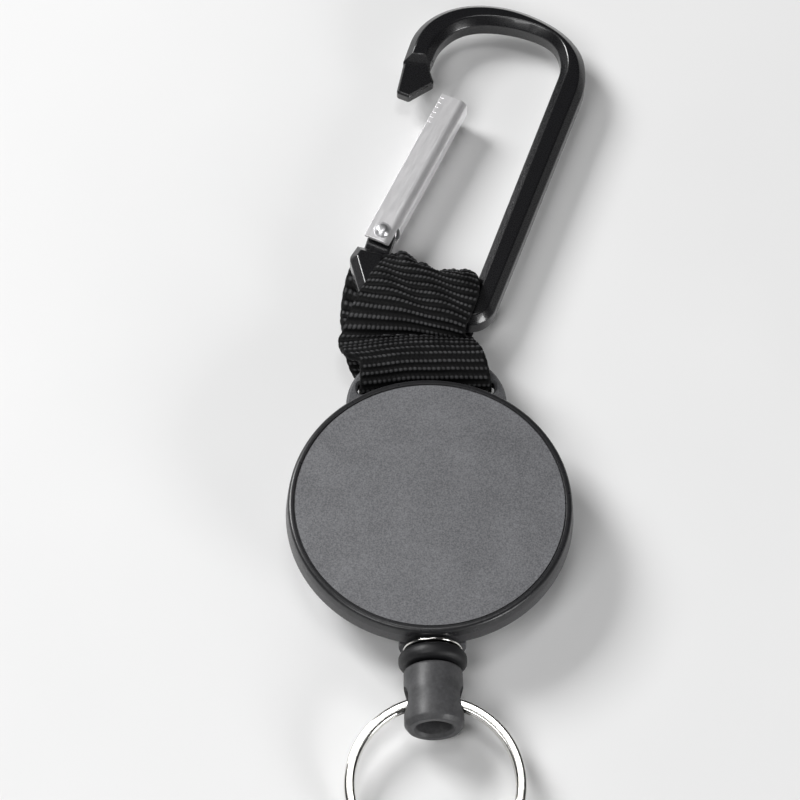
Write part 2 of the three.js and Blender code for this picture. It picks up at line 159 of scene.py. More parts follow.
def make_studio():
    make_light("key", (-0.48, 0.38, 0.5), (0.3, 0.3), 5.2)
    make_light("near", (-0.25, -0.3, 0.55), (0.3, 0.3), 1.5)
    make_light("side", (0.5, -0.5, 0.25), (0.3, 0.2), 2.4)
    make_light("overhead", (0.0, 0.15, 0.98), (0.3, 0.2), 1.2)
    world = bpy.data.worlds.new("studio")
    bpy.context.scene.world = world
    world.use_nodes = True
    tree = world.node_tree
    ray = tree.nodes.new("ShaderNodeTexCoord")
    split = tree.nodes.new("ShaderNodeSeparateXYZ")
    ramp = tree.nodes.new("ShaderNodeValToRGB")
    for index, (place, grey) in enumerate(WORLD_GREYS):
        stop = ramp.color_ramp.elements[index] if index < 2 else ramp.color_ramp.elements.new(place)
        stop.position = place
        stop.color = (grey, grey, grey, 1)
    tree.links.new(ray.outputs["Generated"], split.inputs[0])
    tree.links.new(split.outputs["Z"], ramp.inputs[0])
    tree.links.new(ramp.outputs[0], tree.nodes["Background"].inputs[0])
    tree.nodes["Background"].inputs[1].default_value = WORLD_STRENGTH


# ---------------------------------------------------------------- materials


class Finish:
    """A Principled material whose colour, roughness and bump come from nodes in object space."""

    def __init__(self, name, metallic=0.0, **fixed):
        self.material = bpy.data.materials.new(name)
        self.material.use_nodes = True
        self.tree = self.material.node_tree
        self.shader = self.tree.nodes["Principled BSDF"]
        self.shader.inputs["Metallic"].default_value = metallic
        for socket, value in fixed.items():
            self.shader.inputs[socket.replace("_", " ")].default_value = value
        self.place = self.tree.nodes.new("ShaderNodeTexCoord").outputs["Object"]

    def stretched(self, sizes, turn=0.0):
        """Object space in axes turned about Z, each stretched by its size, for a directed grain."""
        made = self.tree.nodes.new("ShaderNodeMapping")
        made.vector_type = "TEXTURE"
        self.tree.links.new(self.place, made.inputs["Vector"])
        made.inputs["Rotation"].default_value = (0, 0, turn)
        made.inputs["Scale"].default_value = sizes
        return made.outputs[0]

    def noise(self, size_mm, detail=2.0, roughness=0.5, place=None):
        made = self.tree.nodes.new("ShaderNodeTexNoise")
        self.tree.links.new(place or self.place, made.inputs["Vector"])
        made.inputs["Scale"].default_value = 1 / (size_mm * MM)
        made.inputs["Detail"].default_value = detail
        made.inputs["Roughness"].default_value = roughness
        return made.outputs[0]

    def ramp(self, value, *stops):
        made = self.tree.nodes.new("ShaderNodeValToRGB")
        self.tree.links.new(value, made.inputs[0])
        elements = made.color_ramp.elements
        for index, (place, color) in enumerate(stops):
            stop = elements[index] if index < 2 else elements.new(place)
            stop.position = place
            stop.color = (*color, 1) if hasattr(color, "__len__") else (color, color, color, 1)
        return made.outputs[0]

    def math(self, operation, first, second):
        made = self.tree.nodes.new("ShaderNodeMath")
        made.operation = operation
        for socket, value in zip(made.inputs, (first, second)):
            if isinstance(value, bpy.types.NodeSocket):
                self.tree.links.new(value, socket)
            else:
                socket.default_value = value
        return made.outputs[0]

    def color(self, value):
        self.tree.links.new(value, self.shader.inputs["Base Color"])

    def roughness(self, value):
        self.tree.links.new(value, self.shader.inputs["Roughness"])

    def bump(self, height, depth_mm):
        made = self.tree.nodes.new("ShaderNodeBump")
        made.inputs["Strength"].default_value = 1.0
        made.inputs["Distance"].default_value = depth_mm * MM
        self.tree.links.new(height, made.inputs["Height"])
        self.tree.links.new(made.outputs[0], self.shader.inputs["Normal"])


def grained_plastic(name, low, high, depth, size=0.22, gloss=0.5):
    finish = Finish(name, Specular_IOR_Level=0.5)
    grain = finish.noise(size, 3, 0.6)
    cloud = finish.noise(6.0, 3, 0.5)
    both = finish.math("ADD", finish.math("MULTIPLY", grain, 0.8), finish.math("MULTIPLY", cloud, 0.2))
    finish.color(finish.ramp(both, (0.36, low), (0.66, high)))
    finish.roughness(finish.ramp(grain, (0.3, gloss + 0.12), (0.7, gloss - 0.08)))
    finish.bump(grain, depth)
    return finish.material


def smooth_plastic(name, low, high, gloss=0.3):
    finish = Finish(name)
    haze = finish.noise(0.9, 4, 0.6)
    finish.color(finish.ramp(haze, (0.3, low), (0.7, high)))
    finish.roughness(finish.ramp(haze, (0.3, gloss + 0.08), (0.7, gloss - 0.05)))
    finish.bump(finish.noise(0.15, 2), 0.004)
    return finish.material


def rubber(name, low, high, gloss):
    finish = Finish(name, Specular_IOR_Level=0.4)
    dust = finish.noise(0.5, 5, 0.65)
    patch = finish.noise(2.6, 2, 0.5)
    both = finish.math("ADD", finish.math("MULTIPLY", dust, 0.5), finish.math("MULTIPLY", patch, 0.5))
    finish.color(finish.ramp(both, (0.35, low), (0.65, high)))
    finish.roughness(finish.ramp(patch, (0.3, gloss + 0.1), (0.7, gloss - 0.08)))
    finish.bump(finish.noise(0.16, 3, 0.6), 0.02)
    return finish.material


def plated_metal(name, low, high, gloss, grain_mm=(1, 1, 1), turn=0.0, depth=0.002, metallic=1.0):
    finish = Finish(name, metallic=metallic)
    along = finish.stretched(grain_mm, turn)
    streak = finish.noise(0.12, 3, 0.6, along)
    haze = finish.noise(1.8, 3, 0.5)
    finish.color(finish.ramp(haze, (0.3, low), (0.7, high)))
    finish.roughness(finish.ramp(streak, (0.3, gloss - 0.04), (0.7, gloss + 0.08)))
    finish.bump(streak, depth)
    return finish.material


def black_anodised():
    finish = Finish("black_anodised", Specular_IOR_Level=0.5)
    finish.shader.inputs["Coat Weight"].default_value = 0.5
    finish.shader.inputs["Coat Roughness"].default_value = 0.08
    blast = finish.noise(0.11, 2, 0.5)
    finish.color(finish.ramp(blast, (0.3, (0.004, 0.004, 0.005)), (0.7, (0.008, 0.008, 0.009))))
    finish.roughness(finish.ramp(blast, (0.35, 0.26), (0.65, 0.3)))
    finish.bump(blast, 0.0012)
    return finish.material


def webbing_nylon(name, low, high):
    """The yarns lie in the UV map's axes. Their crests get a painted highlight and the valleys between
    them painted shade, from the crest attribute.
    """
    finish = Finish(name, Specular_IOR_Level=0.14)
    finish.place = finish.tree.nodes.new("ShaderNodeTexCoord").outputs["UV"]
    crest = finish.tree.nodes.new("ShaderNodeAttribute")
    crest.attribute_name = "crest"
    fibre = finish.noise(0.07, 2, 0.5, finish.stretched((6, 1, 1)))
    patch = finish.noise(2.5, 3, 0.6)
    # painted highlight: the crest attribute, broken up by a random patch, lightens the colour on the ribs'
    # crests
    painted_crest_highlight = finish.math("MULTIPLY", crest.outputs["Fac"], finish.math("ADD", patch, 0.5))
    both = finish.math("ADD", finish.math("MULTIPLY", fibre, 0.2), finish.math("MULTIPLY", painted_crest_highlight, 0.8))
    finish.color(finish.ramp(both, (0.42, low), (0.9, high)))
    finish.roughness(finish.ramp(both, (0.3, 0.62), (0.8, 0.36)))
    finish.bump(fibre, 0.05)
    return finish.material


def twisted_thread(name, low, high):
    finish = Finish(name, Specular_IOR_Level=0.5)
    ply = finish.noise(0.14, 2, 0.5)
    finish.color(finish.ramp(ply, (0.3, low), (0.7, high)))
    finish.roughness(finish.ramp(ply, (0.3, 0.55), (0.7, 0.4)))
    finish.bump(ply, 0.02)
    return finish.material


FINISHES = {
    "case_face_plastic": grained_plastic(
        "case_face_plastic", (0.084, 0.085, 0.091), (0.19, 0.192, 0.202), 0.035),
    # painted shade: the rounded rim of the face is coloured near black, far darker than the face's own
    # plastic
    "case_edge_painted_shade": smooth_plastic("case_edge_painted_shade", (0.008, 0.008, 0.009), (0.02, 0.02, 0.022)),
    # painted shade: the cover's wall is coloured darker than the face of the same cover
    "case_wall_painted_shade": grained_plastic(
        "case_wall_painted_shade", (0.02, 0.02, 0.022), (0.04, 0.04, 0.043), 0.006, 0.15, 0.36),
    "case_rear_plastic": grained_plastic(
        "case_rear_plastic", (0.055, 0.056, 0.06), (0.12, 0.121, 0.127), 0.025, 0.25, 0.5),
    "nickel_plate": plated_metal("nickel_plate", (0.76, 0.75, 0.72), (0.84, 0.83, 0.8), 0.12),
    "drum_plastic": smooth_plastic("drum_plastic", (0.74, 0.72, 0.65), (0.84, 0.82, 0.77), 0.4),
    "spring_cover_steel": plated_metal(
        "spring_cover_steel", (0.55, 0.56, 0.57), (0.66, 0.67, 0.68), 0.3, (12, 1, 1)),
    "spring_steel": plated_metal(
        "spring_steel", (0.34, 0.36, 0.4), (0.46, 0.48, 0.51), 0.26, (1, 1, 8)),
    "cord_coating": twisted_thread("cord_coating", (0.012, 0.012, 0.014), (0.05, 0.05, 0.054)),
    "crimp_brass": plated_metal("crimp_brass", (0.62, 0.45, 0.18), (0.78, 0.6, 0.3), 0.28),
    "crimp_aluminium": plated_metal(
        "crimp_aluminium", (0.6, 0.61, 0.62), (0.72, 0.73, 0.74), 0.32, (1, 9, 1)),
    "bumper_rubber": rubber("bumper_rubber", (0.003, 0.003, 0.004), (0.009, 0.009, 0.01), 0.5),
    "sleeve_rubber": rubber("sleeve_rubber", (0.038, 0.038, 0.04), (0.074, 0.074, 0.077), 0.44),
    # the high end of this range is the painted highlight on the webbing's crests, the low end painted
    # shade in its valleys
    "strap_webbing": webbing_nylon("strap_webbing", (0.0008, 0.0008, 0.001), (0.075, 0.075, 0.078)),
    "stitch_thread": twisted_thread("stitch_thread", (0.008, 0.008, 0.009), (0.03, 0.03, 0.032)),
    "black_anodised": black_anodised(),
    "bare_aluminium": plated_metal(
        "bare_aluminium", (0.9, 0.89, 0.9), (0.96, 0.95, 0.96), 0.38, (1, 22, 1),
        LEAN + GATE_AJAR, 0.003, 0.76),
    "rivet_steel": plated_metal("rivet_steel", (0.76, 0.76, 0.78), (0.88, 0.88, 0.89), 0.34),
}


# ---------------------------------------------------------------- mesh tools


def face_outwards(made):
    bmesh.ops.recalc_face_normals(made, faces=made.faces)
    if made.calc_volume(signed=True) < 0:
        bmesh.ops.reverse_faces(made, faces=made.faces)


def shape_object(name, points, faces):
    """An object in millimetres; place() turns it into metres."""
    mesh = bpy.data.meshes.new(name)
    mesh.from_pydata([tuple(p) for p in points], [], faces)
    made = bmesh.new()
    made.from_mesh(mesh)
    face_outwards(made)
    made.to_mesh(mesh)
    made.free()
    piece = bpy.data.objects.new(name, mesh)
    bpy.context.scene.collection.objects.link(piece)
    return piece


FAIR = math.inf  # rounding that runs from the middle of one side to the middle of the next


def fair_corner(before, corner, after, steps):
    start, end = (before + corner) / 2, (corner + after) / 2
    line = []
    for i in range(steps + 1):
        t = i / steps
        line.append(start * (1 - t) ** 2 + corner * (2 * t * (1 - t)) + end * t**2)
    return line


def corner_arc(before, corner, after, radius, steps):
    """Points of the curve that rounds a corner, or the corner itself."""
    if radius <= 0:
        return [corner]
    if radius == FAIR:
        return fair_corner(before, corner, after, steps)[1:]
    inward, outward = (before - corner).normalized(), (after - corner).normalized()
    opening = math.acos(max(-1, min(1, inward.dot(outward))))
    reach = radius / math.tan(opening / 2)
    middle = corner + (inward + outward).normalized() * (radius / math.sin(opening / 2))
    start, end = corner + inward * reach - middle, corner + outward * reach - middle
    sweep = start.angle_signed(end)
    turns = [sweep * i / steps for i in range(steps + 1)]
    return [middle + Matrix.Rotation(-turn, 2) @ start for turn in turns]


def rounded(corners, steps=8, closed=True):
    """A polyline through (x, y, rounding) corners."""
    spots = [Vector(c[:2]) for c in corners]
    line = []
    for i, (spot, corner) in enumerate(zip(spots, corners)):
        ends = not closed and i in (0, len(spots) - 1)
        after = spots[(i + 1) % len(spots)]
        line += corner_arc(spots[i - 1], spot, after, 0 if ends else corner[2], steps)
    return line


def turned(name, corners, segments=144, steps=6, axis="Z", centre=(0, 0, 0), closed=True):
    """A piece turned on a lathe: (radius, height, rounding) corners, revolved about an axis.
    An open profile starts and ends on the axis."""
    line = rounded(corners, steps, closed)
    points, faces, rings = [], [], []
    for r, h in line:
        rings.append([len(points) + k for k in range(segments if r > 1e-6 else 1)])
        for k in range(len(rings[-1])):
            turn = FULL_TURN * k / segments
            spot = (r * math.cos(turn), r * math.sin(turn), h)
            if axis == "Y":
                spot = (spot[0], h, spot[1])
            points.append(Vector(spot) + Vector(centre))
    pairs = list(zip(rings, rings[1:])) + ([(rings[-1], rings[0])] if closed else [])
    for low, high in pairs:
        for k in range(segments):
            j = (k + 1) % segments
            if len(low) == 1:
                faces.append((low[0], high[j], high[k]))
            elif len(high) == 1:
                faces.append((low[k], low[j], high[0]))
            else:
                faces.append((low[k], low[j], high[j], high[k]))
    return shape_object(name, points, faces)


def inset(line, depth):
    """The closed counter-clockwise outline moved inwards."""
    moved = []
    for i, spot in enumerate(line):
        come = (spot - line[i - 1]).normalized()
        leave = (line[(i + 1) % len(line)] - spot).normalized()
        normals = Vector((-come.y - leave.y, come.x + leave.x))
        moved.append(spot + normals * (depth / (1 + come.dot(leave))))
    return moved


def slab_edge(thickness, chamfer, soft=0.12, steps=3):
    """(inset, height) of a plate's edge from its back to its front, each corner softened."""
    half = thickness / 2
    corners = [
        (chamfer + 1, -half, 0), (chamfer, -half, soft), (0, chamfer - half, soft),
        (0, half - chamfer, soft), (chamfer, half, soft), (chamfer + 1, half, 0),
    ]
    return [(p.x, p.y) for p in rounded(corners, steps, closed=False)][1:-1]


def slab(name, outline, edge, holes=()):
    """A plate in the XY plane: a closed outline, with holes, and an edge profile."""
    made = bmesh.new()
    rims = {0: [], len(edge) - 1: []}
    for number, line in enumerate([outline, *holes]):
        side = 1 if number == 0 else -1
        rings = []
        for depth, height in edge:
            moved = inset(line, side * depth)
            rings.append([made.verts.new((p.x, p.y, height)) for p in moved])
        for low, high in zip(rings, rings[1:]):
            for k in range(len(low)):
                made.faces.new((low[k - 1], low[k], high[k], high[k - 1]))
        for level in rims:
            ring = rings[level]
            rims[level] += [made.edges.get((ring[k - 1], ring[k])) for k in range(len(ring))]
    for level in rims:
        bmesh.ops.triangle_fill(made, edges=rims[level], use_beauty=True)
    face_outwards(made)
    mesh = bpy.data.meshes.new(name)
    made.to_mesh(mesh)
    made.free()
    piece = bpy.data.objects.new(name, mesh)
    bpy.context.scene.collection.objects.link(piece)
    return piece


def swept(name, line, section, twist=0.0, closed=False):
    """A section of (side, up) points swept along a 3-D line, turned by twist radians a step."""
    line = [Vector(p) for p in line]
    count = len(line)
    tangents = [
        (line[(i + 1) % count if closed else min(i + 1, count - 1)]
         - line[i - 1 if closed or i else 0]).normalized()
        for i in range(count)
    ]
    side = tangents[0].orthogonal().normalized()
    points, faces = [], []
    for i, (spot, tangent) in enumerate(zip(line, tangents)):
        side = (side - tangent * side.dot(tangent)).normalized()
        up = tangent.cross(side)
        c, s = math.cos(twist * i), math.sin(twist * i)
        for a, b in section:
            points.append(spot + side * (a * c - b * s) + up * (a * s + b * c))
    n = len(section)
    for i in range(count if closed else count - 1):
        j = (i + 1) % count
        for k in range(n):
            m = (k + 1) % n
            faces.append((i * n + k, i * n + m, j * n + m, j * n + k))
    if not closed:
        faces += [tuple(range(n))[::-1], tuple(range((count - 1) * n, count * n))]
    return shape_object(name, points, faces)


def ring_section(r, sides=12, lobes=0, depth=0.0):
    turns = [FULL_TURN * k / sides for k in range(sides)]
    return [
        ((r - depth * (1 - math.cos(lobes * a)) / 2) * math.cos(a),
         (r - depth * (1 - math.cos(lobes * a)) / 2) * math.sin(a))
        for a in turns
    ]


def spline(points, per_span=10, closed=False):
    """A Catmull-Rom line through 3-D points."""
    points = [Vector(p) for p in points]
    count = len(points)
    line = []
    for i in range(count if closed else count - 1):
        if closed:
            a, b, c, d = (points[(i + k) % count] for k in (-1, 0, 1, 2))
        else:
            a, b, c, d = (points[max(0, min(count - 1, i + k))] for k in (-1, 0, 1, 2))
        for k in range(per_span):
            t = k / per_span
            line.append(0.5 * (
                2 * b + (c - a) * t + (2 * a - 5 * b + 4 * c - d) * t**2
                + (3 * b - 3 * c + d - a) * t**3
            ))
    return line if closed else [*line, points[-1]]


def bake_modifiers(piece):
    evaluated = piece.evaluated_get(bpy.context.evaluated_depsgraph_get())
    mesh = bpy.data.meshes.new_from_object(evaluated)
    piece.modifiers.clear()
    piece.data = mesh


def combine(piece, *tools, operation="DIFFERENCE"):
    for tool in tools:
        step = piece.modifiers.new("combine", "BOOLEAN")
        step.operation, step.solver, step.object = operation, "EXACT", tool
        bake_modifiers(piece)
        bpy.data.objects.remove(tool)
    return piece


def move(piece, matrix):
    piece.data.transform(matrix)
    return piece


def on_carabiner(piece):
    """From the carabiner's own frame (u along its bar, v towards its top) to the row frame."""
    place = Matrix.Translation((BAR_AT.x, BAR_AT.y, STRAP_Z)) @ Matrix.Rotation(LEAN, 4, "Z")
    return move(piece, place)


def on_gate(piece):
    place = Matrix.Translation((PIVOT.x, PIVOT.y, 0)) @ Matrix.Rotation(GATE_AJAR, 4, "Z")
    return on_carabiner(move(piece, place))


def place(piece, body, slot, *nodes, sharp=35.0):
    """Turns a piece into metres, gives it its finish and puts it on its body."""
    piece.data.transform(Matrix.Scale(MM, 4))
    piece.data.shade_smooth()
    if sharp:
        piece.data.set_sharp_from_angle(angle=math.radians(sharp))
    if not piece.data.materials:
        piece.data.materials.append(FINISHES[slot])
    if body:
        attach(piece, body)
    if nodes:
        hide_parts(*nodes)
    return piece


def level_normals(piece):
    """Lets the large flat faces keep flat shading beside their rounded edges."""
    step = piece.modifiers.new("level", "WEIGHTED_NORMAL")
    step.keep_sharp = True
    step.weight = 100
    return piece


def dress_node(node, slot):
    """A carried-over CAD node: its mesh stays, gets its finish, and a weld modifier joins its split
    vertices.
    """
    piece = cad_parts[node]
    piece.data.materials.clear()
    piece.data.materials.append(FINISHES[slot])
    weld = piece.modifiers.new("weld", "WELD")
    weld.merge_threshold = 0.002 * MM


# ---------------------------------------------------------------- case


def flatten_exit(piece):
    """The flat pad on the wall where the eyelet sits."""
    for vertex in piece.data.vertices:
        p = vertex.co
        if abs(p.x) < 6 and p.y < PAD_Y and p.z < FACE_Z - 0.9:
            p.y = PAD_Y


def exit_hole():
    return turned("hole", [(0, -22, 0), (2.0, -22, 0), (2.0, -15, 0), (0, -15, 0)], 48,
                  axis="Y", centre=(0, 0, CORD_Z), closed=False)


def front_cover():
    roof = FACE_Z - WALL
    groove = 0.14
    spigot_out, spigot_in, spigot_drop = 18.6, 17.9, 0.8
    cover = turned("front_cover_shell", [
        (0, FACE_Z, 0), (FACE_R - 0.35, FACE_Z, 0.04), (FACE_R - 0.27, FACE_Z - groove, 0.03),
        (FACE_R - 0.15, FACE_Z - groove, 0.03), (FACE_R - 0.1, FACE_Z, 0.03),
        (CASE_R - 0.35, FACE_Z, 0.55), (CASE_R - 0.15, FACE_Z - 1.6, 1.2),
        (CASE_R, SEAM_Z + 0.1, 0.1), (CASE_R - 0.15, SEAM_Z, 0.04), (spigot_out, SEAM_Z, 0),
        (spigot_out, SEAM_Z - spigot_drop, 0), (spigot_in, SEAM_Z - spigot_drop, 0),
        (spigot_in, SEAM_Z + 0.6, 0), (spigot_out, SEAM_Z + 1.2, 0), (18.4, roof - 0.5, 0),
        (spigot_in, roof, 0), (0, roof, 0),
    ], 192, 5, closed=False)
    flatten_exit(cover)
    combine(cover, exit_hole())
    data = cover.data
    data.materials.append(FINISHES["case_face_plastic"])
    data.materials.append(FINISHES["case_edge_painted_shade"])
    data.materials.append(FINISHES["case_wall_painted_shade"])
    # the flat face keeps its plastic; the rounded rim and the wall below it get darker colours that are
    # painted shade
    for face in data.polygons:
        r, z = face.center.xy.length, face.center.z
        if z > FACE_Z - 0.04 and r < FACE_R - 0.3:
            face.material_index = 0
        elif z > FACE_Z - 1.5:
            face.material_index = 1
        else:
            face.material_index = 2
    return place(cover, "case", "case_face_plastic", "front_cover")


def ear_outline():
    shoulder = 8.4
    return rounded([
        (-EAR_HALF_W, EAR_FOOT_Y, 0), (EAR_HALF_W, EAR_FOOT_Y, 0),
        (EAR_HALF_W, EAR_TOP_Y, shoulder), (-EAR_HALF_W, EAR_TOP_Y, shoulder),
    ], 16)


def exit_boss(rim):
    """The rear case stands out round the cord's exit, to carry the eyelet."""
    back, hollow_r, top = -16.0, 17.2, 12
    spigot_r, spigot_z = 19, SEAM_Z - 1.1
    boss = turned("boss", [(0, PAD_Y, 0), (BOSS_R, PAD_Y, 0.15), (BOSS_R, back, 0), (0, back, 0)], 96,
                  axis="Y", centre=(0, 0, CORD_Z), closed=False)
    inside = turned("inside", [(0, -1, 0), (hollow_r, -1, 0), (hollow_r, top, 0), (0, top, 0)], 96,
                    closed=False)
    above = turned("above", [(0, rim, 0), (30, rim, 0), (30, top, 0), (0, top, 0)], 8, closed=False)
    spigot = turned("spigot", [
        (0, spigot_z, 0), (spigot_r, spigot_z, 0), (spigot_r, top, 0), (0, top, 0),
    ], 96, closed=False)
    return combine(boss, inside, above, spigot)


def rear_case():
    rim = SEAM_Z - SEAM_GAP
    post_r, post_top = 2.45, FACE_Z - 1.7
    shell = turned("rear_case_shell", [
        (0, 0, 0), (15.5, 0, 0.5), (16.6, 0.4, 1.0), (17.8, 1.7, 3.0), (18.9, 3.6, 5.0), (19.6, 5.4, 2.0),
        (CASE_R - 0.35, 5.9, 0.5), (CASE_R - 0.35, rim, 0.1), (19.05, rim, 0), (18.95, 5.5, 0),
        (17.8, 3.5, 0), (16.9, 2.1, 0), (16.2, WALL, 0), (post_r + 0.5, WALL, 0.3),
        (post_r, WALL + 0.5, 0.3), (post_r, post_top, 0.3), (0, post_top, 0),
    ], 192, 5, closed=False)
    slot_hole = rounded([
        (-SLOT_HALF_W, SLOT_LOW_Y, 0.6), (SLOT_HALF_W, SLOT_LOW_Y, 0.6),
        (SLOT_HALF_W, SLOT_HIGH_Y, 0.6), (-SLOT_HALF_W, SLOT_HIGH_Y, 0.6),
    ], 6)
    ear = slab("ear", ear_outline(), slab_edge(2.2, 0.35, 0.1), [slot_hole])
    move(ear, Matrix.Translation((0, 0, STRAP_Z)))
    core = turned("core", [(0, 0, 0), (18.3, 0, 0), (18.3, 9, 0), (0, 9, 0)], 96, closed=False)
    combine(ear, core)
    combine(shell, ear, exit_boss(rim), operation="UNION")
    combine(shell, exit_hole())
    return level_normals(place(shell, "case", "case_rear_plastic", "rear_case"))


def exit_eyelet():
    eyelet = turned("exit_eyelet_rim", [
        (0.75, -20.62, 0.15), (4.15, -20.62, 0.17), (4.15, -20.25, 0.12), (1.7, -20.25, 0),
        (1.7, -17.6, 0), (2.7, -17.6, 0.1), (2.6, -17.15, 0.1), (1.1, -17.8, 0.3), (0.75, -18.4, 0.2),
    ], 96, 5, axis="Y", centre=(0, 0, CORD_Z))
    return place(eyelet, "case", "nickel_plate", "exit_eyelet")


# ---------------------------------------------------------------- drum and cord

WOUND_TURNS = 5
WOUND_LOW, WOUND_HIGH = 3.0, 7.2
WOUND_IN_R, WOUND_OUT_R = 10.9, 12.1


def wound_line(layer_r, count, rising):
    pitch = (WOUND_HIGH - WOUND_LOW - 2 * CORD_R) / (WOUND_TURNS - 1)
    steps = 40
    line = []
    for i in range(count * steps + 1):
        turn = FULL_TURN * i / steps
        height = WOUND_LOW + CORD_R + pitch * (i / steps) * 0.95
        if not rising:
            height = WOUND_HIGH + WOUND_LOW - height
        line.append((layer_r * math.cos(turn), layer_r * math.sin(turn), height))
    return line


def cord_section():
    return ring_section(CORD_R, 12, 3, 0.07)


def wound_cord():
    inner = wound_line(WOUND_IN_R + CORD_R, WOUND_TURNS - 1, True)
    outer = wound_line(WOUND_OUT_R - CORD_R, WOUND_TURNS - 2, False)
    crossed = 8  # steps the cord crosses in one straight line, which cuts through the drum's wall
    piece = swept("cord_on_drum", inner + outer[crossed:], cord_section(), 0.35)
    return place(piece, "drum", "cord_coating", "wound_cord", sharp=0)


def pull_cord_line():
    """From the drum, through the eyelet, round the split ring and back into the ferrule."""
    drum_r = WOUND_OUT_R + CORD_R + 0.1
    bend = Vector((0, -17.7, 0))
    turn = math.acos(drum_r / -bend.y)
    leave = Vector((drum_r * math.sin(turn), -drum_r * math.cos(turn), 0))
    run = [leave.lerp(bend, k / 6) for k in range(6)] + [Vector((0.12, -18.0, 0))]
    # Many short steps where the cord stretches out as it is pulled.
    run += [Vector((0, -18.9 - 0.6 * k / 12, 0)) for k in range(13)]
    side, eye_r = 0.56, 1.85
    run += [Vector((0, -22, 0)), Vector((0, -23.7, 0)), Vector((0, -24.7, side)), Vector((0, -25.9, side))]
    for degrees in range(-30, 241, 30):
        a = math.radians(degrees)
        run.append(Vector((0, RING_Y - eye_r * math.sin(a), eye_r * math.cos(a))))
    run += [Vector((0, -25.9, -side)), Vector((0, -25.1, -side)), Vector((0, -24.4, -side))]
    return [p + Vector((0, 0, CORD_Z)) for p in spline(run, 5)]


def pull_cord():
    piece = swept("cord_run", pull_cord_line(), cord_section(), 0.3)
    place(piece, None, "cord_coating", "cord_lead_in", "pull_cord", sharp=0)
    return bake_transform(piece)


# ---------------------------------------------------------------- cord end


def rubber_bumper():
    y, r, hole, length = -20.9, 4.8, 0.7, 2.4
    piece = turned("bumper_bead", [
        (hole, y - length, 0.2), (r - 1.3, y - length, 0.3), (r, y - length + 0.25, 1.0),
        (r, y - 0.25, 0.95), (r - 1.3, y, 0.3), (hole, y, 0.2),
    ], 96, 7, axis="Y", centre=(0, 0, CORD_Z))
    return place(piece, "cord_end", "bumper_rubber", "rubber_bumper", sharp=0)


def rubber_sleeve():
    top, end, r, bore, cross_r = -23.6, -32.4, 4.2, 2.5, 2.1
    piece = turned("sleeve_tube", [
        (0.8, top, 0.1), (r - 0.1, top, 0.5), (r - 0.04, end + 0.7, 0.5), (r - 0.55, end, 0.25),
        (bore + 0.35, end, 0.2), (bore, end + 0.5, 0.2), (bore, top - 0.6, 0.1), (0.8, top - 0.6, 0.1),
    ], 96, 6, axis="Y", centre=(0, 0, CORD_Z))
    cross = swept("cross", [(-6, RING_Y, CORD_Z), (6, RING_Y, CORD_Z)], ring_section(cross_r, 48))
    combine(piece, cross)
    return place(piece, "cord_end", "sleeve_rubber", "rubber_sleeve", sharp=50)


def split_ring():
    step, jog = 0.98, math.radians(40)
    start, whole = math.radians(-50), 4 * math.pi - jog - 0.1
    steps, end_steps, end_cut = 400, 3, 0.25
    line = []
    for i in range(steps + 1):
        angle = whole * i / steps
        t = max(0, min(1, (angle - FULL_TURN + jog) / jog))
        rise = (t * t * t * (t * (6 * t - 15) + 10) - 0.5) * step
        line.append((angle + start, rise))
    a, b, soft = 0.85 / 2, 1.5 / 2, 0.38
    section = rounded([(-a, -b, soft), (a, -b, soft), (a, b, soft), (-a, b, soft)], 6)
    points, faces = [], []
    n = len(section)
    for index, (angle, rise) in enumerate(line):
        taper = 1 - end_cut * max(0, 1 - min(index, len(line) - 1 - index) / end_steps)
        for p in section:
            r = RING_R + p.y * taper
            points.append(Vector((r * math.cos(angle), r * math.sin(angle), rise + p.x * taper)))
    for i in range(len(line) - 1):
        for k in range(n):
            m = (k + 1) % n
            faces.append((i * n + k, i * n + m, (i + 1) * n + m, (i + 1) * n + k))
    faces += [tuple(range(n)), tuple(range((len(line) - 1) * n, len(line) * n))]
    piece = shape_object("key_ring", points, faces)
    tilt = Matrix.Rotation(RING_SLOPE, 4, "X") @ Matrix.Translation((0, -RING_R, 0))
    move(piece, Matrix.Translation((0, RING_Y, CORD_Z)) @ tilt)
    return place(piece, "ring", "nickel_plate", "split_ring", sharp=50)


# ---------------------------------------------------------------- strap

ROW = 1.1  # one rib across the webbing
BEAD = 0.72  # one warp yarn in a rib
ROW_STEPS, BEAD_STEPS = 5, 4
WEB_W = 19.0
WEB_HALF_T = 0.52
RIB = 0.36
VALLEY = 0.14  # how far the ground between the ribs lies inside the half thickness
SAG, DRAWN_IN, WING, DROOP = 0.9, 1.9, 3.8, 0.55
# SELVEDGE_SHADE and CREST_SHARPNESS set the painted highlight: its fixed level on the selvedge and how
# narrow it is on each crest
SELVEDGE_OUT, SELVEDGE_RIB, SELVEDGE_HALF_T, SELVEDGE_SHADE = 0.35, 0.08, 0.5, 0.2
CREST_SHARPNESS = 1.6

